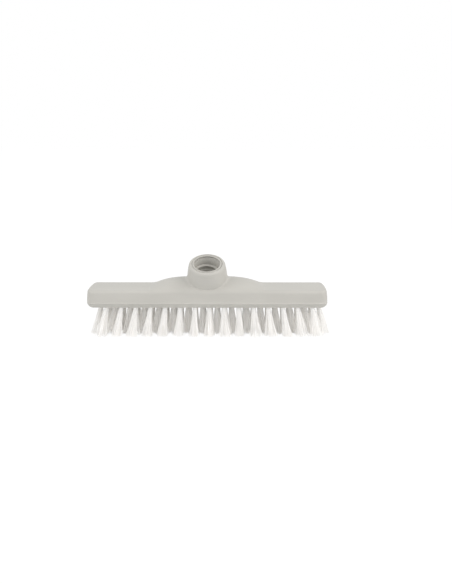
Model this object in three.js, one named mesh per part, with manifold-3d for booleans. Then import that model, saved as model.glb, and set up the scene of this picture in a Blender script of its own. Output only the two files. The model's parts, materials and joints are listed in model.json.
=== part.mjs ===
// A floor scrub brush: a moulded plastic block with a threaded handle socket that leans to the front,
// and four staggered rows of bristle tufts, each tuft held at the bottom of its hole by a flat wire anchor.
// Millimetres, +Z up. +X runs along the block, the socket leans towards -Y, the bristle tips are at Z = 0.

import * as THREE from 'three';
import { mergeVertices } from 'three/addons/utils/BufferGeometryUtils.js';
import Module from 'manifold-3d';

const wasm = await Module();
wasm.setup();

// Clearance between separate pieces
const GAP = 0.3;

// Block
const BLOCK_LENGTH = 240;
const BLOCK_WIDTH = 45;
const BLOCK_HEIGHT = 18;
const PLAN_RADIUS = 10;
const TOP_ROUND = 3.4;
const CHAMFER_RUN = 4;
const CHAMFER_RISE = 5;

// Hump that carries the socket
const HUMP_LENGTH = 116;
const HUMP_EDGE = 1.5;
const HUMP_RISE = 9.6;

// Handle socket: lengths are along its leaning axis, which meets the top of the block at its centre
const SOCKET_TILT = THREE.MathUtils.degToRad(25);
const SOCKET_TAPER = THREE.MathUtils.degToRad(5);
const SOCKET_REACH = 27.8;
const SOCKET_WALL = 6;
const SOCKET_FLOOR = 4;
const RIM_ROUND = 2.2;
const COLLAR_SINK = 2;
const MOUTH_FLARE = 1;
const LEAD_IN = 7;
const THREAD_DIAMETER = 24;
const THREAD_PITCH = 5.5;
const THREAD_DEPTH = 1.8;
const THREAD_FOOT = 3.2;
const THREAD_CREST = 1.2;
const THREAD_INSET = 2.5;
const THREAD_SINK = 0.4;
const THREAD_END = THREE.MathUtils.degToRad(112);

// Bristle tufts: each strand stands for a bunch of filaments that spreads towards its tip
const TRIM_LENGTH = 30;
const TUFT_DEPTH = 9;
const TUFT_PITCH = 14.6;
const TUFT_EDGE = 2.5;
const FIELD_SHIFT = 2.3;
const ROW_INSET = 7;
const BED_LIP = 0.4;
const ROOT_RADIUS = 1.55;
const TIP_RADIUS = 4.4;
const STRAND_ROOT_RADIUS = 0.7;
const STRAND_TIP_RADIUS = 1.3;
const STRAND_SINK = 0.5;
const STRANDS_AROUND = 6;
const STRAND_SIDES = 3;
const END_LEAN = THREE.MathUtils.degToRad(12.5);
const SIDE_LEAN = THREE.MathUtils.degToRad(4);

// Rows from front to rear, with the tufts that each has fewer than the longest row
const ROWS = [
  { name: 'front', fewer: 1 },
  { name: 'second', fewer: 0 },
  { name: 'third', fewer: 1 },
  { name: 'rear', fewer: 2 },
];

// Wire anchors
const ANCHOR_LENGTH = 6.4;
const ANCHOR_THICKNESS = 0.5;
const ANCHOR_WIDTH = 2;

// Fineness of curved faces
const CORNER_STEPS = 6;
const ROUND_STEPS = 4;
const COLLAR_SIDES = 40;
const THREAD_STEPS = 20;
const HUMP_SIDES = 36;
const WELD = 1e-4;

const UNDERSIDE = TRIM_LENGTH;
const BLOCK_TOP = UNDERSIDE + BLOCK_HEIGHT;
const BED_TOP = UNDERSIDE + TUFT_DEPTH;
const POCKET_TOP = BED_TOP + GAP;
const THREAD_RADIUS = THREAD_DIAMETER / 2;
const RIM_RADIUS = THREAD_RADIUS + SOCKET_WALL;
const QUARTER = Math.PI / 2;
const LEAN_AXIS = new THREE.Vector3(1, 0, 0);

const OFF_WHITE_PLASTIC = new THREE.MeshStandardMaterial({
  color: 0xc8c5be, roughness: 0.55, metalness: 0, flatShading: true,
});
const WHITE_FILAMENT = new THREE.MeshStandardMaterial({
  color: 0xefeae6, roughness: 0.5, metalness: 0, flatShading: true,
});
const STEEL_WIRE = new THREE.MeshStandardMaterial({
  color: 0xb4b6b8, roughness: 0.35, metalness: 1, flatShading: true,
});

// A closed geometry as a solid that can be joined and cut
function solid(geometry) {
  const bare = geometry.clone();
  bare.deleteAttribute('normal');
  bare.deleteAttribute('uv');
  const welded = mergeVertices(bare, WELD);
  const vertProperties = new Float32Array(welded.attributes.position.array);
  const triVerts = new Uint32Array(welded.index.array);
  return new wasm.Manifold(new wasm.Mesh({ numProp: 3, vertProperties, triVerts }));
}

function geometryOf(shape) {
  const mesh = shape.getMesh();
  const geometry = new THREE.BufferGeometry();
  geometry.setAttribute('position', new THREE.BufferAttribute(new Float32Array(mesh.vertProperties), 3));
  geometry.setIndex(new THREE.BufferAttribute(new Uint32Array(mesh.triVerts), 1));
  geometry.computeVertexNormals();
  return geometry;
}

// A closed geometry through rings of points, each ring with the same count, capped at both ends
function loftGeometry(rings) {
  const sides = rings[0].length;
  const faces = [];
  for (let ring = 0; ring < rings.length - 1; ring += 1) {
    const low = ring * sides;
    const high = low + sides;
    for (let side = 0; side < sides; side += 1) {
      const next = (side + 1) % sides;
      faces.push(low + side, low + next, high + next);
      faces.push(low + side, high + next, high + side);
    }
  }
  const last = (rings.length - 1) * sides;
  for (let side = 1; side < sides - 1; side += 1) {
    faces.push(0, side + 1, side);
    faces.push(last, last + side, last + side + 1);
  }
  const geometry = new THREE.BufferGeometry().setFromPoints(rings.flat());
  geometry.setIndex(faces);
  return geometry;
}

// Turns a geometry made up +Z onto the socket's leaning axis
function ontoSocket(geometry) {
  geometry.rotateX(SOCKET_TILT);
  geometry.translate(0, 0, BLOCK_TOP);
  return geometry;
}

function turnedOnSocket(profile) {
  const geometry = new THREE.LatheGeometry(profile, COLLAR_SIDES);
  geometry.rotateX(QUARTER);
  return solid(ontoSocket(geometry));
}

function blockPlan() {
  const x = BLOCK_LENGTH / 2 - PLAN_RADIUS;
  const y = BLOCK_WIDTH / 2 - PLAN_RADIUS;
  const plan = new THREE.Shape();
  plan.absarc(x, y, PLAN_RADIUS, 0, QUARTER);
  plan.absarc(-x, y, PLAN_RADIUS, QUARTER, 2 * QUARTER);
  plan.absarc(-x, -y, PLAN_RADIUS, 2 * QUARTER, 3 * QUARTER);
  plan.absarc(x, -y, PLAN_RADIUS, 3 * QUARTER, 4 * QUARTER);
  return plan;
}

// The block's plan as a bar from bottom up, drawn in by run over a height of rise at both ends
function planBar(bottom, run, rise, steps) {
  const geometry = new THREE.ExtrudeGeometry(blockPlan(), {
    depth: BLOCK_HEIGHT,
    curveSegments: CORNER_STEPS,
    bevelSize: run,
    bevelOffset: -run,
    bevelThickness: rise,
    bevelSegments: steps,
  });
  geometry.translate(0, 0, bottom + rise);
  return solid(geometry);
}

// What the bar with the rounded top and the bar with the chamfered foot have in common
function barSolid() {
  const roundedTop = planBar(UNDERSIDE - 2 * TOP_ROUND, TOP_ROUND, TOP_ROUND, ROUND_STEPS);
  const chamferedFoot = planBar(UNDERSIDE, CHAMFER_RUN, CHAMFER_RISE, 1);
  return roundedTop.intersect(chamferedFoot);
}

function humpSolid() {
  const geometry = new THREE.SphereGeometry(1, HUMP_SIDES, HUMP_SIDES / 2);
  geometry.rotateX(QUARTER);
  geometry.scale(HUMP_LENGTH / 2, BLOCK_WIDTH / 2 - HUMP_EDGE, HUMP_RISE);
  geometry.translate(0, 0, BLOCK_TOP);
  return solid(geometry);
}

// A ring about the socket's leaning axis
function socketRing(radius, height) {
  const ring = [];
  for (let side = 0; side < COLLAR_SIDES; side += 1) {
    const angle = (side / COLLAR_SIDES) * 4 * QUARTER;
    const point = new THREE.Vector3(radius * Math.cos(angle), radius * Math.sin(angle), height);
    point.applyAxisAngle(LEAN_AXIS, SOCKET_TILT);
    point.z += BLOCK_TOP;
    ring.push(point);
  }
  return ring;
}

// Behind, where the foot of the leaning collar would hang clear of the block, it is carried straight down
function collarSolid() {
  const foot = socketRing(RIM_RADIUS + SOCKET_REACH * Math.tan(SOCKET_TAPER), 0);
  const root = foot.map((point) => point.clone().setZ(Math.min(point.z, BLOCK_TOP) - COLLAR_SINK));
  const rings = [root, foot];
  for (let step = 0; step <= ROUND_STEPS; step += 1) {
    const angle = (step / ROUND_STEPS) * QUARTER;
    const radius = RIM_RADIUS - RIM_ROUND * (1 - Math.cos(angle));
    const height = SOCKET_REACH - RIM_ROUND * (1 - Math.sin(angle));
    rings.push(socketRing(radius, height));
  }
  return solid(loftGeometry(rings));
}

// How far up the socket's axis its flat end lies, with the block thick enough below its lowest edge
function socketEnd() {
  const lowestEdge = POCKET_TOP + SOCKET_FLOOR + THREAD_RADIUS * Math.sin(SOCKET_TILT);
  return (lowestEdge - BLOCK_TOP) / Math.cos(SOCKET_TILT);
}

// The bore is plain at its mouth, where it widens a little so that a handle finds its way in
function boreSolid() {
  const end = socketEnd();
  const above = SOCKET_REACH + LEAD_IN;
  return turnedOnSocket([
    new THREE.Vector2(0, end),
    new THREE.Vector2(THREAD_RADIUS, end),
    new THREE.Vector2(THREAD_RADIUS, SOCKET_REACH - LEAD_IN),
    new THREE.Vector2(THREAD_RADIUS + 2 * MOUTH_FLARE, above),
    new THREE.Vector2(0, above),
  ]);
}

// The thread: one right-handed ridge, its foot sunk into the wall. It winds up the bore and ends below
// the lead-in.
function threadSolid() {
  const start = socketEnd() + THREAD_INSET;
  const rise = SOCKET_REACH - LEAD_IN - THREAD_FOOT / 2 - start;
  const steps = Math.round((rise / THREAD_PITCH) * THREAD_STEPS);
  const footRadius = THREAD_RADIUS + THREAD_SINK;
  const crestRadius = THREAD_RADIUS - THREAD_DEPTH;
  const section = [
    [footRadius, -THREAD_FOOT / 2],
    [footRadius, THREAD_FOOT / 2],
    [crestRadius, THREAD_CREST / 2],
    [crestRadius, -THREAD_CREST / 2],
  ];
  const rings = [];
  for (let step = 0; step <= steps; step += 1) {
    const angle = THREAD_END - ((steps - step) / THREAD_STEPS) * 4 * QUARTER;
    const height = start + (step / steps) * rise;
    const ring = section.map(([radius, offset]) => (
      new THREE.Vector3(radius * Math.cos(angle), radius * Math.sin(angle), height + offset)
    ));
    rings.push(ring);
  }
  return solid(ontoSocket(loftGeometry(rings)));
}

// Every second row is half a pitch out of step, because it has one tuft more or fewer
function tuftRows() {
  const rowSpacing = (BLOCK_WIDTH - 2 * ROW_INSET) / (ROWS.length - 1);
  const wall = CHAMFER_RUN + BED_LIP + GAP;
  const room = BLOCK_LENGTH / 2 - wall - TUFT_EDGE - Math.abs(FIELD_SHIFT);
  const longest = Math.floor((2 * room) / TUFT_PITCH) + 1;
  const bedWidth = Math.min(rowSpacing - GAP, 2 * (ROW_INSET - wall));
  return ROWS.map(({ name, fewer }, index) => {
    const count = longest - fewer;
    const y = ROW_INSET - BLOCK_WIDTH / 2 + index * rowSpacing;
    const halfLength = ((count - 1) / 2) * TUFT_PITCH;
    const roots = [];
    for (let tuft = 0; tuft < count; tuft += 1) {
      roots.push(FIELD_SHIFT - halfLength + tuft * TUFT_PITCH);
    }
    return { name, y, roots, halfLength, bedWidth, room };
  });
}

// The bar of backing that one row is rooted in, round at its ends, grown by a margin all over
function bedSolid(row, margin) {
  const radius = row.bedWidth / 2 + margin;
  const reach = row.halfLength + TUFT_EDGE + margin - radius;
  const plan = new THREE.Shape();
  plan.absarc(FIELD_SHIFT + reach, row.y, radius, -QUARTER, QUARTER);
  plan.absarc(FIELD_SHIFT - reach, row.y, radius, QUARTER, 3 * QUARTER);
  const geometry = new THREE.ExtrudeGeometry(plan, {
    depth: TUFT_DEPTH + 2 * margin,
    curveSegments: CORNER_STEPS,
    bevelEnabled: false,
  });
  geometry.translate(0, 0, UNDERSIDE - margin);
  return solid(geometry);
}

// How far a tuft leans along X and Y, as slopes: outwards, and most at the ends and sides of the field
function tuftLean(row, x) {
  const endShare = (x - FIELD_SHIFT) / row.room;
  const sideShare = row.y / (BLOCK_WIDTH / 2 - ROW_INSET);
  return new THREE.Vector2(Math.tan(END_LEAN * endShare), Math.tan(SIDE_LEAN * sideShare));
}

// One strand, up from its tip, which is cut flat on the floor, to its root, which is sunk into the bed
function strandSolid(tip, root) {
  const ends = [[tip, STRAND_TIP_RADIUS], [root, STRAND_ROOT_RADIUS]];
  const rings = ends.map(([middle, radius]) => {
    const ring = [];
    for (let side = 0; side < STRAND_SIDES; side += 1) {
      const angle = (side / STRAND_SIDES) * 4 * QUARTER;
      const corner = new THREE.Vector3(radius * Math.cos(angle), radius * Math.sin(angle), 0);
      ring.push(corner.add(middle));
    }
    return ring;
  });
  return solid(loftGeometry(rings));
}

// A tuft is one strand in the middle and a ring of strands that spread away from it
function tuftStrands(row, x) {
  const slope = tuftLean(row, x);
  const tuftTip = new THREE.Vector3(x + slope.x * TRIM_LENGTH, row.y + slope.y * TRIM_LENGTH, 0);
  const tuftRoot = new THREE.Vector3(x, row.y, UNDERSIDE + STRAND_SINK);
  const strands = [strandSolid(tuftTip, tuftRoot)];
  for (let strand = 0; strand < STRANDS_AROUND; strand += 1) {
    const angle = (strand / STRANDS_AROUND) * 4 * QUARTER;
    const away = new THREE.Vector3(Math.cos(angle), Math.sin(angle), 0);
    const tip = tuftTip.clone().addScaledVector(away, TIP_RADIUS);
    const root = tuftRoot.clone().addScaledVector(away, ROOT_RADIUS);
    strands.push(strandSolid(tip, root));
  }
  return strands;
}

// An anchor lies across the fold of its tuft, at the deep end of the leaning hole
function anchorMiddle(row, x) {
  return new THREE.Vector3(x - tuftLean(row, x).x * TUFT_DEPTH, row.y, BED_TOP - ANCHOR_WIDTH / 2);
}

function anchorGeometry(margin) {
  return new THREE.BoxGeometry(
    ANCHOR_LENGTH + 2 * margin,
    ANCHOR_THICKNESS + 2 * margin,
    ANCHOR_WIDTH + 2 * margin,
  );
}

function anchorSlot(row, x) {
  const middle = anchorMiddle(row, x);
  return solid(anchorGeometry(GAP).translate(middle.x, middle.y, middle.z));
}

function namedMesh(name, geometry, material) {
  const piece = new THREE.Mesh(geometry, material);
  piece.name = name;
  return piece;
}

function blockMesh(rows) {
  let shape = barSolid().add(humpSolid()).add(collarSolid());
  shape = shape.subtract(boreSolid()).add(threadSolid());
  for (const row of rows) {
    shape = shape.subtract(bedSolid(row, GAP));
  }
  return namedMesh('brush_block', geometryOf(shape), OFF_WHITE_PLASTIC);
}

function bristleMesh(row) {
  const strands = row.roots.flatMap((x) => tuftStrands(row, x));
  let shape = wasm.Manifold.union([bedSolid(row, 0), ...strands]);
  for (const x of row.roots) {
    shape = shape.subtract(anchorSlot(row, x));
  }
  return namedMesh(`${row.name}_row_bristles`, geometryOf(shape), WHITE_FILAMENT);
}

function anchorMesh(row, x, index) {
  const number = String(index + 1).padStart(2, '0');
  const piece = namedMesh(`${row.name}_row_anchor_${number}`, anchorGeometry(0), STEEL_WIRE);
  piece.position.copy(anchorMiddle(row, x));
  return piece;
}

const rows = tuftRows();
const brush = new THREE.Group();
brush.add(blockMesh(rows));
for (const row of rows) {
  brush.add(bristleMesh(row));
}

// Anchors of the first three rows; the rear row has the same slots, and its like anchors are left out here
for (const row of rows.slice(0, -1)) {
  row.roots.forEach((x, index) => brush.add(anchorMesh(row, x, index)));
}

// The origin lies on the floor, under the middle of the whole brush
const middle = new THREE.Box3().setFromObject(brush).getCenter(new THREE.Vector3());
brush.position.set(-middle.x, -middle.y, 0);

export default brush;
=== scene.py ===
import json
import math
import random

import bpy
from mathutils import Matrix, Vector


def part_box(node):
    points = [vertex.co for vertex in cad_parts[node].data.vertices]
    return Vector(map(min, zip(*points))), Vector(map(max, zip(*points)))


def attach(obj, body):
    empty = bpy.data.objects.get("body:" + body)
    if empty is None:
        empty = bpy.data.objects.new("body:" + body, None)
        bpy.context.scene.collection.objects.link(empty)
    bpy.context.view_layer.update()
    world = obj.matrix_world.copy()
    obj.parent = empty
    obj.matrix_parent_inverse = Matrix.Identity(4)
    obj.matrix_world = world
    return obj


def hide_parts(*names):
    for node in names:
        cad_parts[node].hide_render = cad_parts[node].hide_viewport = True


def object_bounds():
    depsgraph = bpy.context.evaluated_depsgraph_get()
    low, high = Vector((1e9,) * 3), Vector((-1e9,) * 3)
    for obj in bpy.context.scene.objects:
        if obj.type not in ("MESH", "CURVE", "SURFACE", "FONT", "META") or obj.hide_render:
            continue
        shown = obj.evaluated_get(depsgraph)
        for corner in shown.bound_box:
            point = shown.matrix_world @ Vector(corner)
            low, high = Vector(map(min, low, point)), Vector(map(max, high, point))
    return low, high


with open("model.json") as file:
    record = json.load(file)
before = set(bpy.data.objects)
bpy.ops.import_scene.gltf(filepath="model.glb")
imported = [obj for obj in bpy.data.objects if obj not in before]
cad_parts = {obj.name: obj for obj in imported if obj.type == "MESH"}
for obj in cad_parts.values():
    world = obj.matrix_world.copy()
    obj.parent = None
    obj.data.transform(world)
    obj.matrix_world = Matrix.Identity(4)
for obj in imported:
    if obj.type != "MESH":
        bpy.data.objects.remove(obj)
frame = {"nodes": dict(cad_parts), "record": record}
cad_box = [list(corner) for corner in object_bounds()]

# Brush block
# One injection moulding of off-white plastic: a long bar with bowed ends, a low hump in its middle and, on
# the hump, a collar with a coarse thread that leans to the front. Its skin is one grid, wrapped round it in
# rings from the floor of the socket, out over the rim and the hump, and down to the underside.
block_low, block_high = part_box("brush_block")
BLOCK_WIDTH = 0.045
BLOCK_HEIGHT = 0.0178
PLAN_RADIUS = 0.0068
END_BOW = 0.0016
TOP_ROUND = 0.0034
END_ROUND_RUN = 0.0014
SIDE_DRAFT = 0.00085
END_DRAFT = 0.0009
BEAD_HEIGHT = 0.005
BEAD_WIDTH = 0.0008
BEAD_PROUD_SIDE = 0.0006
BEAD_PROUD_END = 0.0001
BEAD_FOOT_SHARE = 0.3
FOOT_RUN = 0.004
FOOT_BULGE = 0.4
HUMP_LENGTH = 0.1152
HUMP_RISE = 0.01
HUMP_POWER = 4
HUMP_TOE = 0.06

RIM_RADIUS = 0.0182
RIM_ROUND = 0.0028
RIM_GROOVE_RADIUS = 0.0149
RIM_GROOVE_WIDTH = 0.0007
RIM_GROOVE_DEPTH = 0.0007
COLLAR_WIDENING = 0.0018
COLLAR_WIDENING_REACH = 0.016
COLLAR_WIDENING_POWER = 8
COLLAR_FILLET_FRONT = 0.0004
COLLAR_FILLET_SIDE = 0.0045
COLLAR_FILLET_POWER = 4
SOCKET_DEPTH = 0.02739
MOUTH_RADIUS = 0.013
MOUTH_EDGE = 0.0002
MOUTH_LIP = 0.0004
MOUTH_GROOVE_HEIGHT = 0.0018
MOUTH_GROOVE_DEPTH = 0.0012
MOUTH_GROOVE_CORNER = 0.9
LEAD_IN = 0.007
THREAD_RADIUS = 0.012
THREAD_PITCH = 0.0055
THREAD_DEPTH = 0.0016
THREAD_FOOT = 0.0024
THREAD_CREST = 0.0005
THREAD_INSET = 0.0025
THREAD_END_SHARE = 250 / 360
THREAD_RUN_OUT = 0.0006

RING_POINTS = 160
END_STEPS = 5
CORNER_STEPS = 13
BORE_RINGS = 84
TOP_RINGS = 76
ARC_STEPS = 6
SEAM_GAP = 1e-7

half_length = (block_high.x - block_low.x) / 2
half_width = BLOCK_WIDTH / 2
middle_x = (block_low.x + block_high.x) / 2
middle_y = block_high.y - half_width
underside = block_low.z
block_top = underside + BLOCK_HEIGHT
rim_mount = next(mount for mount in frame["record"]["mounts"] if mount["name"] == "handle_socket_rim")
socket_axis = Vector(rim_mount["axis"]).normalized()
rim_middle = Vector((middle_x, rim_mount["pos_m"][1], rim_mount["pos_m"][2]))
across = Vector((1, 0, 0))
upslope = socket_axis.cross(across)


def socket_point(radius, rise, turn):
    """A point of the collar, by its distance from the axis, its rise over the rim and its turn."""
    return rim_middle + socket_axis * rise + radius * (across * math.cos(turn) + upslope * math.sin(turn))


def socket_ring(radius, rise):
    """A round ring of the collar."""
    return [socket_point(radius, rise, 2 * math.pi * k / RING_POINTS) for k in range(RING_POINTS)]


def thread_ring(rise):
    """A ring of the bore's wall, drawn in where the right-handed thread's ridge crosses it."""
    ring = []
    low = THREAD_INSET - SOCKET_DEPTH
    high = -LEAD_IN - THREAD_FOOT / 2
    for k in range(RING_POINTS):
        share = k / RING_POINTS
        winding = round((rise - high) / THREAD_PITCH - share + THREAD_END_SHARE)
        crest = high + (winding + share - THREAD_END_SHARE) * THREAD_PITCH
        ridge = min(1, max(0, (THREAD_FOOT / 2 - abs(rise - crest)) * 2 / (THREAD_FOOT - THREAD_CREST)))
        run_out = min(1, max(0, min(high - crest, crest - low) / THREAD_RUN_OUT))
        ring.append(socket_point(THREAD_RADIUS - THREAD_DEPTH * ridge * run_out, rise, 2 * math.pi * share))
    return ring


def length_share(y):
    """Length of the bar at a distance from its middle line, as a share of the whole: its ends bow out."""
    return 1 - END_BOW / half_length * (y / half_width) ** 2


def plan_point(k, end_inset, side_inset):
    """A point of the bar's plan, set in from its ends and sides, counted from the middle of one end."""
    quarter = RING_POINTS // 4
    quadrant, step = divmod(k, quarter)
    if quadrant % 2:
        step = quarter - step
    radius = PLAN_RADIUS - min(end_inset, side_inset)
    long = half_length - end_inset - radius
    wide = half_width - side_inset - radius
    if step < END_STEPS:
        x, y = long + radius, wide * step / END_STEPS
    elif step < END_STEPS + CORNER_STEPS:
        bend = math.pi / 2 * (step - END_STEPS) / CORNER_STEPS
        x, y = long + radius * math.cos(bend), wide + radius * math.sin(bend)
    else:
        share = (step - END_STEPS - CORNER_STEPS) / (quarter - END_STEPS - CORNER_STEPS)
        x, y = long * (1 - share), wide + radius
    x *= length_share(y)
    if quadrant in (1, 2):
        x = -x
    if quadrant in (2, 3):
        y = -y
    return Vector((middle_x + x, middle_y + y))


def plan_ring(height, end_inset, side_inset):
    """A level ring of the bar, at a height over the underside."""
    points = [plan_point(k, end_inset, side_inset) for k in range(RING_POINTS)]
    return [Vector((point.x, point.y, underside + height)) for point in points]


def hump_height(x, y):
    """Height of the hump over the bar's top: an arch with soft toes, bowed down to the bar's sides."""
    arch = 1 - (x / (HUMP_LENGTH / 2)) ** HUMP_POWER
    overlap = max(0, HUMP_TOE - abs(arch)) / HUMP_TOE
    bow = 1 - (y / (half_width - SIDE_DRAFT)) ** 2
    return HUMP_RISE * (max(arch, 0) + overlap ** 2 * HUMP_TOE / 4) * max(bow, 0)


def top_height(point):
    """Height of the block's upper side at a point of the plan: the bar's top, its round edge and the hump."""
    y = abs(point.y - middle_y)
    x = abs(point.x - middle_x) / length_share(y)
    radius = PLAN_RADIUS - min(END_DRAFT, SIDE_DRAFT)
    past_x = x - (half_length - END_DRAFT - radius)
    past_y = y - (half_width - SIDE_DRAFT - radius)
    past = math.hypot(max(past_x, 0), max(past_y, 0))
    inside = radius - past - min(max(past_x, past_y), 0)
    end_share = (max(past_x, 0) / past) ** 2 if past else 0
    steepness = 1 + (TOP_ROUND / END_ROUND_RUN - 1) * end_share
    into_round = min(TOP_ROUND, max(0, TOP_ROUND - inside * steepness))
    drop = TOP_ROUND - math.sqrt(TOP_ROUND ** 2 - into_round ** 2)
    return block_top - drop + hump_height(x, y)


def collar_side(rise, turn):
    """A point of the collar's side, which widens to its foot all round but right in front and behind."""
    widening = COLLAR_WIDENING * (1 - math.sin(turn) ** COLLAR_WIDENING_POWER)
    drop = min(1, max(0, -rise - RIM_ROUND) / COLLAR_WIDENING_REACH)
    return socket_point(RIM_RADIUS + widening * drop * (2 - drop), rise, turn)


def collar_foot(turn):
    """How far under the rim the collar's side meets the block's upper side, found by halving."""
    search_depth = 0.045
    halvings = 40
    low, high = -search_depth, -RIM_ROUND
    for _ in range(halvings):
        rise = (low + high) / 2
        point = collar_side(rise, turn)
        if point.z > top_height(point.xy):
            high = rise
        else:
            low = rise
    return low


def top_profile(k):
    """A dense line from the collar's rounded rim down its side, through the fillet and out to the edge."""
    side_samples = 16
    fillet_samples = 12
    top_samples = 240
    turn = 2 * math.pi * k / RING_POINTS
    rise = collar_foot(turn)
    foot = collar_side(rise, turn)
    edge = plan_point(k, END_DRAFT, SIDE_DRAFT)
    outward = edge - foot.xy
    sideways = math.cos(turn) ** COLLAR_FILLET_POWER
    fillet = COLLAR_FILLET_FRONT + (COLLAR_FILLET_SIDE - COLLAR_FILLET_FRONT) * sideways
    fillet_start = rise + fillet
    fillet_end = foot.xy + outward.normalized() * fillet
    start = collar_side(fillet_start, turn)
    end = Vector((fillet_end.x, fillet_end.y, top_height(fillet_end)))
    line = []
    for i in range(side_samples):
        level = -RIM_ROUND + (fillet_start + RIM_ROUND) * i / side_samples
        line.append(collar_side(level, turn))
    for i in range(fillet_samples):
        share = i / fillet_samples
        line.append(start * (1 - share) ** 2 + foot * 2 * share * (1 - share) + end * share ** 2)
    for i in range(top_samples + 1):
        share = 1 - (1 - i / top_samples) ** 2
        point = fillet_end.lerp(edge, share)
        line.append(Vector((point.x, point.y, top_height(point))))
    return line


def spread(line, count):
    """Points along a line, set closer where it turns."""
    even_length = 0.006
    even_turn = math.radians(9)
    measure = [0.0]
    for i in range(1, len(line)):
        step = line[i] - line[i - 1]
        bend = (line[i + 1] - line[i]).angle(step, 0) if i + 1 < len(line) else 0
        measure.append(measure[-1] + step.length / even_length + bend / even_turn)
    points = []
    i = 0
    for n in range(count):
        goal = measure[-1] * n / count
        while measure[i + 1] < goal:
            i += 1
        points.append(line[i].lerp(line[i + 1], (goal - measure[i]) / (measure[i + 1] - measure[i])))
    return points


rings = []
for n in range(BORE_RINGS + 1):
    rings.append(thread_ring(-SOCKET_DEPTH + (SOCKET_DEPTH - LEAD_IN) * n / BORE_RINGS))

# The groove in the wall of the mouth, the mouth's edge, and the groove round the flat of the rim
groove_top = -MOUTH_LIP
groove_foot = groove_top - MOUTH_GROOVE_HEIGHT
groove_corner = MOUTH_RADIUS + MOUTH_GROOVE_CORNER * MOUTH_GROOVE_DEPTH
groove_wall = MOUTH_RADIUS + MOUTH_GROOVE_DEPTH
for radius, rise in (
    (MOUTH_RADIUS - MOUTH_EDGE / 2, groove_foot - MOUTH_EDGE),
    (MOUTH_RADIUS, groove_foot),
    (groove_corner, groove_foot + MOUTH_EDGE),
    (groove_wall, groove_foot + 2 * MOUTH_EDGE),
    (groove_wall, groove_top - 3 / 2 * MOUTH_EDGE),
    (groove_corner, groove_top - MOUTH_EDGE / 2),
    (MOUTH_RADIUS, groove_top),
    (MOUTH_RADIUS, -MOUTH_EDGE),
    (MOUTH_RADIUS + MOUTH_EDGE, 0),
    (RIM_GROOVE_RADIUS - RIM_GROOVE_WIDTH, 0),
    (RIM_GROOVE_RADIUS - RIM_GROOVE_WIDTH / 2, -RIM_GROOVE_DEPTH),
    (RIM_GROOVE_RADIUS + RIM_GROOVE_WIDTH / 2, -RIM_GROOVE_DEPTH),
    (RIM_GROOVE_RADIUS + RIM_GROOVE_WIDTH, 0),
):
    rings.append(socket_ring(radius, rise))
for n in range(ARC_STEPS):
    bend = math.pi / 2 * (1 - n / ARC_STEPS)
    radius = RIM_RADIUS - RIM_ROUND * (1 - math.cos(bend))
    rings.append(socket_ring(radius, -RIM_ROUND * (1 - math.sin(bend))))
profiles = [spread(top_profile(k), TOP_RINGS) for k in range(RING_POINTS)]
rings.extend([list(ring) for ring in zip(*profiles)])

# The drafted walls, the bead round them, and the chamfered foot, which bulges at the ends
bead_top = BEAD_HEIGHT + BEAD_WIDTH / 2
bead_foot = BEAD_HEIGHT - BEAD_WIDTH / 2
wall_top = BLOCK_HEIGHT - TOP_ROUND
wall_foot = bead_top + BEAD_WIDTH / 4
for n in range(ARC_STEPS):
    rest = 1 - n / ARC_STEPS
    rings.append(plan_ring(
        wall_foot + (wall_top - wall_foot) * rest,
        BEAD_PROUD_END + (END_DRAFT - BEAD_PROUD_END) * rest ** 2,
        BEAD_PROUD_SIDE + (SIDE_DRAFT - BEAD_PROUD_SIDE) * rest,
    ))
for height, inset_share in (
    (wall_foot, 1),
    (bead_top, 0.85),
    (BEAD_HEIGHT, 0.1),
    (BEAD_HEIGHT - BEAD_WIDTH / 4, 0),
    (bead_foot, BEAD_FOOT_SHARE),
):
    rings.append(plan_ring(height, BEAD_PROUD_END * inset_share, BEAD_PROUD_SIDE * inset_share))
for n in range(1, ARC_STEPS + 1):
    share = n / ARC_STEPS
    bow = FOOT_BULGE * 2 * share * (1 - share)
    rings.append(plan_ring(
        bead_foot * (1 - share - bow),
        BEAD_PROUD_END * BEAD_FOOT_SHARE + FOOT_RUN * (share - bow),
        BEAD_PROUD_SIDE * BEAD_FOOT_SHARE + FOOT_RUN * (share + bow),
    ))

# The grid's columns go round the block, and each of its rows becomes one ring
bpy.ops.object.select_all(action="DESELECT")
bpy.ops.mesh.primitive_grid_add(x_subdivisions=RING_POINTS, y_subdivisions=len(rings) - 1, size=1)
block = bpy.context.object
block.name = "moulded_block"
for point in block.data.vertices:
    column = round((point.co.x + 0.5) * RING_POINTS) % RING_POINTS
    row = round((point.co.y + 0.5) * (len(rings) - 1))
    point.co = rings[row][column]
bpy.ops.object.mode_set(mode="EDIT")
bpy.ops.mesh.select_all(action="SELECT")
bpy.ops.mesh.remove_doubles(threshold=SEAM_GAP)
bpy.ops.mesh.select_all(action="SELECT")
bpy.ops.mesh.fill_holes(sides=0)
bpy.ops.mesh.select_all(action="SELECT")
bpy.ops.mesh.normals_make_consistent(inside=False)
bpy.ops.object.mode_set(mode="OBJECT")


def paint(red, green, blue):
    """A colour for a shader, from its parts as a screen shows them, from 0 to 255."""
    parts = [part / 255 for part in (red, green, blue)]
    return (*(part / 12.92 if part <= 0.04045 else ((part + 0.055) / 1.055) ** 2.4 for part in parts), 1.0)


def new_material(name):
    """A material with its node tree, its shader and its Object coordinates."""
    material = bpy.data.materials.new(name)
    material.use_nodes = True
    tree = material.node_tree
    shader = tree.nodes["Principled BSDF"]
    place = tree.nodes.new("ShaderNodeTexCoord")
    return material, tree, shader, place


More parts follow.
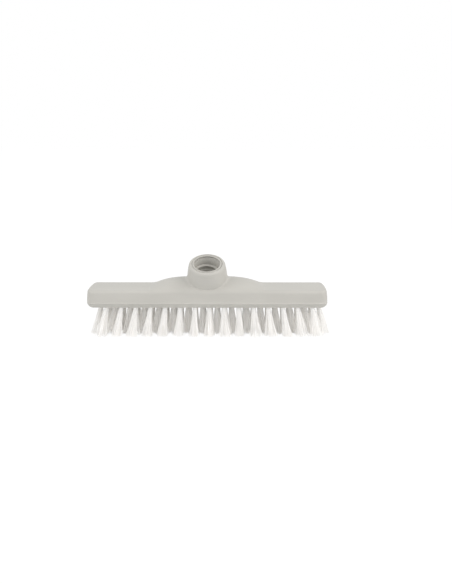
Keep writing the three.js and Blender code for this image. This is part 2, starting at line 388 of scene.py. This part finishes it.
def mottle_group():
    """Node group: a soft cloudy tone and a fine grain, each on its own scale, stretched along the flow."""
    group = bpy.data.node_groups.new("mottle", "ShaderNodeTree")
    for name, kind in (
        ("Place", "NodeSocketVector"),
        ("Stretch", "NodeSocketVector"),
        ("Cloud Scale", "NodeSocketFloat"),
        ("Grain Scale", "NodeSocketFloat"),
    ):
        group.interface.new_socket(name, in_out="INPUT", socket_type=kind)
    for name in ("Cloud", "Grain"):
        group.interface.new_socket(name, in_out="OUTPUT", socket_type="NodeSocketFloat")
    inside = group.nodes.new("NodeGroupInput")
    outside = group.nodes.new("NodeGroupOutput")
    stretch = group.nodes.new("ShaderNodeVectorMath")
    stretch.operation = "MULTIPLY"
    group.links.new(inside.outputs["Place"], stretch.inputs[0])
    group.links.new(inside.outputs["Stretch"], stretch.inputs[1])
    for name, detail in (("Cloud", 3), ("Grain", 2)):
        noise = group.nodes.new("ShaderNodeTexNoise")
        noise.inputs["Detail"].default_value = detail
        group.links.new(stretch.outputs[0], noise.inputs["Vector"])
        group.links.new(inside.outputs[f"{name} Scale"], noise.inputs["Scale"])
        group.links.new(noise.outputs["Fac"], outside.inputs[name])
    return group


mottle = mottle_group()


def mottled(tree, place, stretch, cloud_scale, grain_scale):
    """The mottle group set into a material."""
    node = tree.nodes.new("ShaderNodeGroup")
    node.node_tree = mottle
    tree.links.new(place.outputs["Object"], node.inputs["Place"])
    node.inputs["Stretch"].default_value = stretch
    node.inputs["Cloud Scale"].default_value = cloud_scale
    node.inputs["Grain Scale"].default_value = grain_scale
    return node


def ramp(tree, value, stops):
    """A colour ramp on a value, with its stops as (place, colour)."""
    node = tree.nodes.new("ShaderNodeValToRGB")
    node.color_ramp.elements[0].position = stops[0][0]
    node.color_ramp.elements[0].color = stops[0][1]
    node.color_ramp.elements[1].position = stops[-1][0]
    node.color_ramp.elements[1].color = stops[-1][1]
    for position, color in stops[1:-1]:
        node.color_ramp.elements.new(position).color = color
    tree.links.new(value, node.inputs["Fac"])
    return node.outputs["Color"]


def spread_value(tree, noise, low, high):
    """A noise value, which lies mostly between 0.3 and 0.7, laid over the range from low to high."""
    node = tree.nodes.new("ShaderNodeMapRange")
    node.inputs["From Min"].default_value = 0.3
    node.inputs["From Max"].default_value = 0.7
    node.inputs["To Min"].default_value = low
    node.inputs["To Max"].default_value = high
    tree.links.new(noise, node.inputs["Value"])
    return node.outputs["Result"]


def bump(tree, shader, height, strength, distance):
    """A fine relief on a shader's normal."""
    node = tree.nodes.new("ShaderNodeBump")
    node.inputs["Strength"].default_value = strength
    node.inputs["Distance"].default_value = distance
    tree.links.new(height, node.inputs["Height"])
    tree.links.new(node.outputs["Normal"], shader.inputs["Normal"])


moulded_plastic, tree, shader, place = new_material("moulded_plastic")
flow = mottled(tree, place, stretch=(0.35, 1, 1), cloud_scale=60, grain_scale=1400)
tone = ramp(tree, flow.outputs["Cloud"], (
    (0.3, paint(191, 189, 183)),
    (0.5, paint(194, 192, 186)),
    (0.7, paint(197, 195, 189)),
))
gloss = spread_value(tree, flow.outputs["Cloud"], low=0.48, high=0.56)
tree.links.new(tone, shader.inputs["Base Color"])
tree.links.new(gloss, shader.inputs["Roughness"])
bump(tree, shader, flow.outputs["Grain"], strength=0.25, distance=0.0001)
shader.inputs["IOR"].default_value = 1.46
block.data.materials.clear()
block.data.materials.append(moulded_plastic)
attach(block, "root")
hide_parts("brush_block")

# Tuft holes
# Sixty blind holes in four staggered rows, drilled into the underside of the block, each along the way that
# its tuft leans: outwards to the ends and, a little, to the front and the rear.
TUFT_PITCH = 0.0146
HOLE_RADIUS = 0.0021
HOLE_DEPTH = 0.009
HOLE_SIDES = 20
END_LEAN = math.radians(12.5)
END_LEAN_REACH = 0.1105
SIDE_LEAN = math.radians(4)
REAR_ROW_TUFTS = 14
BLOCK_CREASE = math.radians(32)

anchor_names = {
    row: sorted(name for name in frame["nodes"] if name.startswith(f"{row}_row_anchor"))
    for row in ("front", "second", "third")
}
first_low, first_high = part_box(anchor_names["front"][0])
_, last_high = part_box(anchor_names["front"][-1])
field_middle = (first_low.x + last_high.x) / 2
front_row_y = (first_low.y + first_high.y) / 2
tuft_rows = {}
for row, names in anchor_names.items():
    low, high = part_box(names[0])
    tuft_rows[row] = (len(names), (low.y + high.y) / 2)
tuft_rows["rear"] = (REAR_ROW_TUFTS, 2 * middle_y - front_row_y)
tuft_roots = {}
for row, (count, y) in tuft_rows.items():
    tuft_roots[row] = [
        Vector((field_middle + (n - (count - 1) / 2) * TUFT_PITCH, y, underside)) for n in range(count)
    ]


def lean(root):
    """The way that a tuft points, down and outwards, for one unit of depth."""
    along = math.tan(END_LEAN * (root.x - field_middle) / END_LEAN_REACH)
    sideways = math.tan(SIDE_LEAN * (root.y - middle_y) / abs(front_row_y - middle_y))
    return Vector((along, sideways, -1))


# The first drill is an object of its own, and the others are added to its mesh in edit mode
bpy.ops.object.select_all(action="DESELECT")
drill = None
for root in [root for roots in tuft_roots.values() for root in roots]:
    turn = (-lean(root)).to_track_quat("Z", "Y").to_euler()
    bpy.ops.mesh.primitive_cylinder_add(
        vertices=HOLE_SIDES, radius=HOLE_RADIUS, depth=2 * HOLE_DEPTH, location=root, rotation=turn
    )
    if drill is None:
        drill = bpy.context.object
        bpy.ops.object.transform_apply(location=True, rotation=True, scale=True)
        bpy.ops.object.mode_set(mode="EDIT")
bpy.ops.object.mode_set(mode="OBJECT")
bpy.ops.object.select_all(action="DESELECT")
bpy.context.view_layer.objects.active = block
block.select_set(True)
drilled = block.modifiers.new("tuft holes", "BOOLEAN")
drilled.operation = "DIFFERENCE"
drilled.solver = "EXACT"
drilled.object = drill
bpy.ops.object.modifier_apply(modifier=drilled.name)
bpy.data.objects.remove(drill)
bpy.ops.object.shade_smooth_by_angle(angle=BLOCK_CREASE)

# Anchors
# One short piece of bright flat wire for each tuft, driven in on edge across its fold at the bottom of the
# hole. Three rows are in the frame already, and the rear row's are cut from the same wire.
flat_wire, tree, shader, place = new_material("flat_wire")
drawn = mottled(tree, place, stretch=(0.1, 1, 1), cloud_scale=900, grain_scale=6000)
tone = ramp(tree, drawn.outputs["Cloud"], (
    (0.3, paint(178, 180, 182)),
    (0.7, paint(205, 206, 206)),
))
gloss = spread_value(tree, drawn.outputs["Grain"], low=0.25, high=0.4)
tree.links.new(tone, shader.inputs["Base Color"])
tree.links.new(gloss, shader.inputs["Roughness"])
bump(tree, shader, drawn.outputs["Grain"], strength=0.2, distance=0.00003)
shader.inputs["Metallic"].default_value = 1
for names in anchor_names.values():
    for name in names:
        anchor = frame["nodes"][name]
        anchor.data.materials.clear()
        anchor.data.materials.append(flat_wire)

wire_size = first_high - first_low
wire_edge = wire_size.y / 5
wire_drop = underside + HOLE_DEPTH - (first_low.z + first_high.z) / 2
for n, root in enumerate(tuft_roots["rear"]):
    bpy.ops.object.select_all(action="DESELECT")
    hole_end = root - lean(root) * HOLE_DEPTH
    seat = (hole_end.x, root.y, hole_end.z - wire_drop)
    bpy.ops.mesh.primitive_cube_add(size=1, location=seat, scale=wire_size)
    anchor = bpy.context.object
    anchor.name = f"rear_row_anchor_{n + 1:02d}"
    bpy.ops.object.transform_apply(location=True, rotation=True, scale=True)
    bpy.ops.object.mode_set(mode="EDIT")
    bpy.ops.mesh.select_all(action="SELECT")
    bpy.ops.mesh.bevel(offset=wire_edge, segments=2, affect="EDGES")
    bpy.ops.object.mode_set(mode="OBJECT")
    anchor.data.materials.append(flat_wire)
    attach(anchor, "root")

# Bristle tufts
# Bundles of stiff white extruded filament, each folded in the middle and held in its hole by its anchor. The
# filaments stay close at the root, flare to the tip in small clumps, and are cut a little raggedly.
FILAMENTS = 60
FILAMENT_RADIUS = 0.00025
FREE_LENGTH = 0.030
TIP_SPREAD = 0.0040
FLARE_FROM = 0.5
FLARE_SHARE = 0.42
SPREAD_VARIETY = 0.25
CLUMPS = 7
CLUMP_DRIFT = 0.0016
STRAY_DRIFT = 0.0009
BOW = 0.0003
CUT_LEAST = 0.004
CUT_DOME = 0.005
CUT_CLUMP = 0.018
CUT_RAGGED = 0.02
GOLDEN_ANGLE = math.radians(137.5)
FILAMENT_CREASE = math.radians(80)
DRAW_SEED = 11
tip_low = [side + 2 * FILAMENT_RADIUS for side in cad_box[0]]
tip_high = [side - 2 * FILAMENT_RADIUS for side in cad_box[1]]
draw = random.Random(DRAW_SEED)


def scatter(reach):
    """A random step to one side."""
    return Vector((draw.uniform(-1, 1), draw.uniform(-1, 1), 0)) * reach


def tuft_filaments(root):
    """The filaments of one tuft, each as a list of points from its fold in the hole to its tip."""
    way = lean(root)
    tip_spread = TIP_SPREAD * (1 + draw.uniform(-SPREAD_VARIETY, SPREAD_VARIETY))
    clump_drifts = [scatter(CLUMP_DRIFT) for _ in range(CLUMPS)]
    clump_cuts = [draw.uniform(0, CUT_CLUMP) for _ in range(CLUMPS)]
    filaments = []
    for n in range(FILAMENTS):
        share = math.sqrt((n + 0.5) / FILAMENTS)
        angle = n * GOLDEN_ANGLE
        outward = Vector((math.cos(angle), math.sin(angle), 0)) * share
        clump = int(angle / (2 * math.pi) * CLUMPS) % CLUMPS
        start = root + outward * (HOLE_RADIUS - FILAMENT_RADIUS)
        drift = outward * tip_spread + clump_drifts[clump] * share + scatter(STRAY_DRIFT)
        cut = CUT_LEAST + CUT_DOME * share ** 2 + clump_cuts[clump] + draw.uniform(0, CUT_RAGGED)
        tip = start + (way * FREE_LENGTH + drift) * (1 - cut)
        tip.x = min(max(tip.x, tip_low[0]), tip_high[0])
        tip.y = min(max(tip.y, tip_low[1]), tip_high[1])
        middle = start + way * FREE_LENGTH * FLARE_FROM + drift * FLARE_SHARE + scatter(BOW)
        fold = start - way * (HOLE_DEPTH - wire_drop)
        filaments.append([fold, start, middle, tip])
    return filaments


filament, tree, shader, place = new_material("white_filament")
extruded = mottled(tree, place, stretch=(1, 1, 0.03), cloud_scale=700, grain_scale=2600)
tone = ramp(tree, extruded.outputs["Cloud"], (
    (0.3, paint(254.8, 253.9, 252.6)),
    (0.55, paint(255, 254.4, 253.4)),
    (0.75, paint(255, 254.8, 254.2)),
))
gloss = spread_value(tree, extruded.outputs["Grain"], low=0.34, high=0.5)
tree.links.new(tone, shader.inputs["Base Color"])
tree.links.new(gloss, shader.inputs["Roughness"])
bump(tree, shader, extruded.outputs["Grain"], strength=0.15, distance=0.00003)

for row, roots in tuft_roots.items():
    bpy.ops.object.select_all(action="DESELECT")
    strands = bpy.data.curves.new(f"{row}_row_tufts", "CURVE")
    strands.dimensions = "3D"
    strands.bevel_depth = FILAMENT_RADIUS
    strands.bevel_resolution = 0
    strands.use_fill_caps = True
    for root in roots:
        for line in tuft_filaments(root):
            spline = strands.splines.new("POLY")
            spline.points.add(len(line) - 1)
            for point, spot in zip(spline.points, line):
                point.co = (*spot, 1)
    tufts = bpy.data.objects.new(f"{row}_row_tufts", strands)
    bpy.context.collection.objects.link(tufts)
    bpy.context.view_layer.objects.active = tufts
    tufts.select_set(True)
    bpy.ops.object.convert(target="MESH")
    tufts = bpy.context.object
    bpy.ops.object.shade_smooth_by_angle(angle=FILAMENT_CREASE)
    tufts.data.materials.clear()
    tufts.data.materials.append(filament)
    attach(tufts, "root")
    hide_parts(f"{row}_row_bristles")

# Studio
# A plain white floor under soft light from all round, with two large soft lamps, one at each side and above,
# and the camera at the photograph's place: in front of the brush, a little above it.
WHITE = (1, 1, 1, 1)
AMBIENT = 0.68
AMBIENT_COLOR = (0.97, 1, 1.02, 1)
LIGHT_BOUNCES = 32
LAMP_SIZE = 1.2
LAMP_COLOR = (1, 0.94, 0.89)
LAMPS = (
    ("right_lamp", Vector((1.07, -0.57, 1.0)), 10.2),
    ("left_lamp", Vector((-1.07, -0.57, 1.0)), 6.9),
)
FLOOR_SIZE = 60
FLOOR_GLOW = 0.9
FLOOR_BRIGHTNESS = 1.05
FLOOR_GREY = 0.9
CAMERA_PLACE = (0.018548, -0.618234, 0.185823)
CAMERA_TURN = (math.radians(76.93), 0, math.radians(0.179))
CAMERA_NEAREST = 0.01
FOCAL_PIXELS = 628.62
IMAGE_HEIGHT = 584


def seen_directly(tree):
    """A value of 1 for what the camera, a mirror or a clear thing sees, and 0 for soft light."""
    path = tree.nodes.new("ShaderNodeLightPath")
    either = path.outputs["Is Camera Ray"]
    for name in ("Is Glossy Ray", "Is Transmission Ray"):
        most = tree.nodes.new("ShaderNodeMath")
        most.operation = "MAXIMUM"
        tree.links.new(either, most.inputs[0])
        tree.links.new(path.outputs[name], most.inputs[1])
        either = most.outputs[0]
    return either


bpy.ops.object.select_all(action="DESELECT")
bpy.ops.mesh.primitive_plane_add(size=FLOOR_SIZE, location=(0, 0, 0))
floor = bpy.context.object
floor.name = "floor"
floor_white = bpy.data.materials.new("floor_white")
floor_white.use_nodes = True
tree = floor_white.node_tree
tree.nodes.clear()
soft = tree.nodes.new("ShaderNodeBsdfDiffuse")
soft.inputs["Color"].default_value = (FLOOR_GREY, FLOOR_GREY, FLOOR_GREY, 1)
glow = tree.nodes.new("ShaderNodeEmission")
glow.inputs["Color"].default_value = WHITE
glow.inputs["Strength"].default_value = FLOOR_BRIGHTNESS
share = tree.nodes.new("ShaderNodeMath")
share.operation = "MULTIPLY"
share.inputs[1].default_value = FLOOR_GLOW
mix = tree.nodes.new("ShaderNodeMixShader")
surface = tree.nodes.new("ShaderNodeOutputMaterial")
tree.links.new(seen_directly(tree), share.inputs[0])
tree.links.new(share.outputs[0], mix.inputs["Fac"])
tree.links.new(soft.outputs[0], mix.inputs[1])
tree.links.new(glow.outputs[0], mix.inputs[2])
tree.links.new(mix.outputs[0], surface.inputs["Surface"])
floor.data.materials.append(floor_white)

world = bpy.data.worlds.new("studio")
bpy.context.scene.world = world
world.use_nodes = True
tree = world.node_tree
tree.nodes.clear()
around = tree.nodes.new("ShaderNodeBackground")
around.inputs["Color"].default_value = AMBIENT_COLOR
around.inputs["Strength"].default_value = AMBIENT
backdrop = tree.nodes.new("ShaderNodeBackground")
backdrop.inputs["Color"].default_value = WHITE
mix = tree.nodes.new("ShaderNodeMixShader")
sky = tree.nodes.new("ShaderNodeOutputWorld")
tree.links.new(seen_directly(tree), mix.inputs["Fac"])
tree.links.new(around.outputs[0], mix.inputs[1])
tree.links.new(backdrop.outputs[0], mix.inputs[2])
tree.links.new(mix.outputs[0], sky.inputs["Surface"])

for name, lamp_place, power in LAMPS:
    bpy.ops.object.light_add(type="AREA", location=lamp_place)
    lamp = bpy.context.object
    lamp.name = name
    lamp.data.energy = power
    lamp.data.size = LAMP_SIZE
    lamp.data.color = LAMP_COLOR
    lamp.rotation_euler = lamp_place.to_track_quat("Z", "Y").to_euler()

bpy.ops.object.camera_add(location=CAMERA_PLACE, rotation=CAMERA_TURN)
camera = bpy.context.object
camera.data.sensor_fit = "VERTICAL"
camera.data.lens = camera.data.sensor_height * FOCAL_PIXELS / IMAGE_HEIGHT
camera.data.clip_start = CAMERA_NEAREST
bpy.context.scene.camera = camera
bpy.context.scene.cycles.max_bounces = LIGHT_BOUNCES
bpy.context.scene.cycles.diffuse_bounces = LIGHT_BOUNCES
bpy.context.scene.view_settings.view_transform = "Standard"
